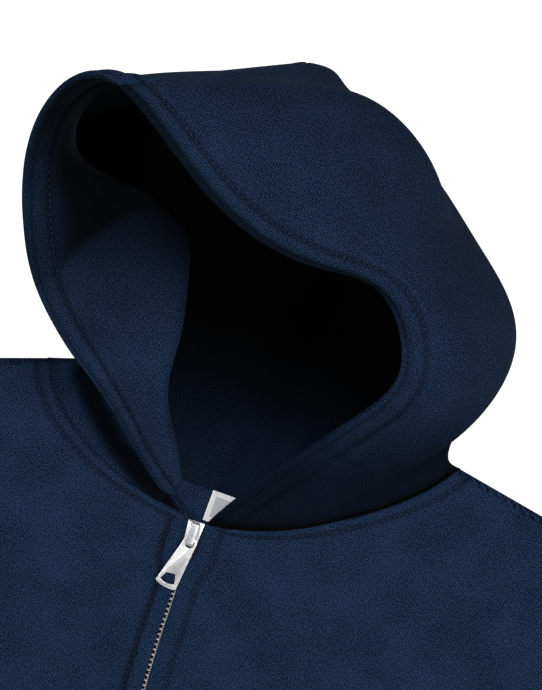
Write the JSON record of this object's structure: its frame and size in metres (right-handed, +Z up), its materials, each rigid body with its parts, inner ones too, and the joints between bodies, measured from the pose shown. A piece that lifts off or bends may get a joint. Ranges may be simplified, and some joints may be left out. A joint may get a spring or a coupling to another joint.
{
  "type": "zip-up hooded sweatshirt",
  "caption": "Navy fleece zip-up hooded sweatshirt lying flat, front up, hood propped open, with ribbed cuffs and waistband and a metal zip with a hinged pull tab.",
  "frame": {"origin": "on the surface that the garment lies on, at the middle of its footprint", "axes": "+X to the right as the front is looked at, from sleeve to sleeve; +Y from the hem to the hood; +Z up, out of the front"},
  "size_m": [1.3396, 0.866, 0.1612],
  "materials": {
    "fleece": "matt navy fleece with a fine diagonal knit",
    "rib": "matt navy rib knit",
    "zip_tape": "navy woven tape",
    "zip_metal": "satin silver",
    "label": "blank white tape"
  },
  "bodies": {
    "garment": {"back_panel": "fleece", "front_left_panel": "fleece", "front_right_panel": "fleece", "sleeve_left": "fleece", "sleeve_right": "fleece", "hood_left_panel": "fleece", "hood_right_panel": "fleece", "cuff_left": "rib", "cuff_right": "rib", "waistband": "rib", "zip_tape_left": "zip_tape", "zip_tape_right": "zip_tape", "zip_chain": "zip_metal", "zip_box": "zip_metal", "zip_slider": "zip_metal", "neck_label": "label"},
    "pull": {"zip_pull": "zip_metal"}
  },
  "joints": [
    {"name": "pull_hinge", "type": "hinge", "parent": "garment", "child": "pull", "pos_m": [-0.0137, 0.19902, 0.009], "axis": [-0.9988, 0.0489, 0], "range_deg": [0, 120]}
  ]
}
